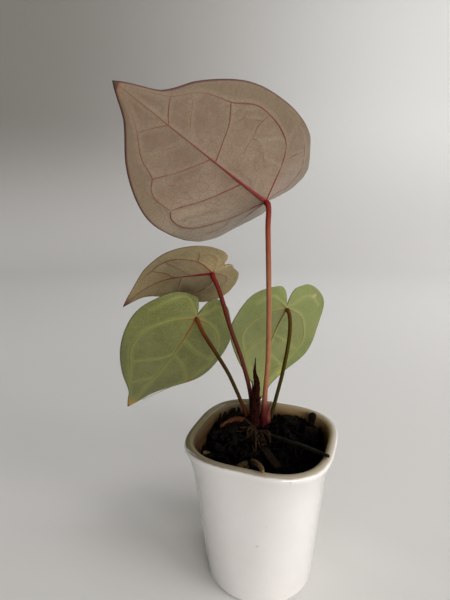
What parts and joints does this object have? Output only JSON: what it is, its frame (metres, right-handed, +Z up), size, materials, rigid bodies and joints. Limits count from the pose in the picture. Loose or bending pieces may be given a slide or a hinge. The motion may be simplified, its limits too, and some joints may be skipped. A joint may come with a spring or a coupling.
{
  "type": "potted anthurium",
  "caption": "Young velvet-leaved anthurium: heart-shaped leaves on slender stalks, growing in bark mix in a small glossy white rounded-square pot.",
  "frame": {"origin": "centre of the pot's foot, on the surface it stands on", "axes": "+Z up along the pot's axis; X and Y square to the pot's flat sides; the leaves lean towards -X and +Y"},
  "size_m": [0.1225, 0.1144, 0.2341],
  "materials": {
    "pot_glaze": "glossy warm white, with a beige stained lip and a few brown specks",
    "bark_mix": "damp dark bark and fibre, rough",
    "crown_skin": "brown woody stump with a crimson flush",
    "leaf_bronze": "young blade: matt bronze underside with dark red veins, velvety dark upper side",
    "leaf_green": "older blade: matt green underside with pale yellow-green veins, velvety dark green upper side",
    "stalk_red": "smooth satin red to salmon stalk",
    "stalk_olive": "smooth satin olive stalk",
    "dry_husk": "dry papery maroon-black sheath",
    "root_skin": "rust-brown to tan root skin",
    "loose_bark": "rough dark bark",
    "pale_wood": "dry tan wood and grit"
  },
  "bodies": {
    "root": {"pot": "pot_glaze", "potting_mix": "bark_mix", "crown": "crown_skin", "leaf_1_blade": "leaf_bronze", "leaf_2_blade": "leaf_bronze", "leaf_3_blade": "leaf_green", "leaf_4_blade": "leaf_green", "leaf_1_stalk": "stalk_red", "leaf_2_stalk": "stalk_red", "leaf_3_stalk": "stalk_olive", "leaf_4_stalk": "stalk_olive", "husk_spike": "dry_husk", "husk_ochre": "dry_husk", "bract": "stalk_red", "aerial_root": "root_skin", "root_stubs": "root_skin", "twig": "loose_bark", "stick": "pale_wood", "bark_knob": "loose_bark", "bark_lump": "loose_bark", "bark_plate": "loose_bark", "bark_strip": "loose_bark", "tan_chip": "pale_wood", "pebble": "pale_wood"}
  },
  "joints": []
}
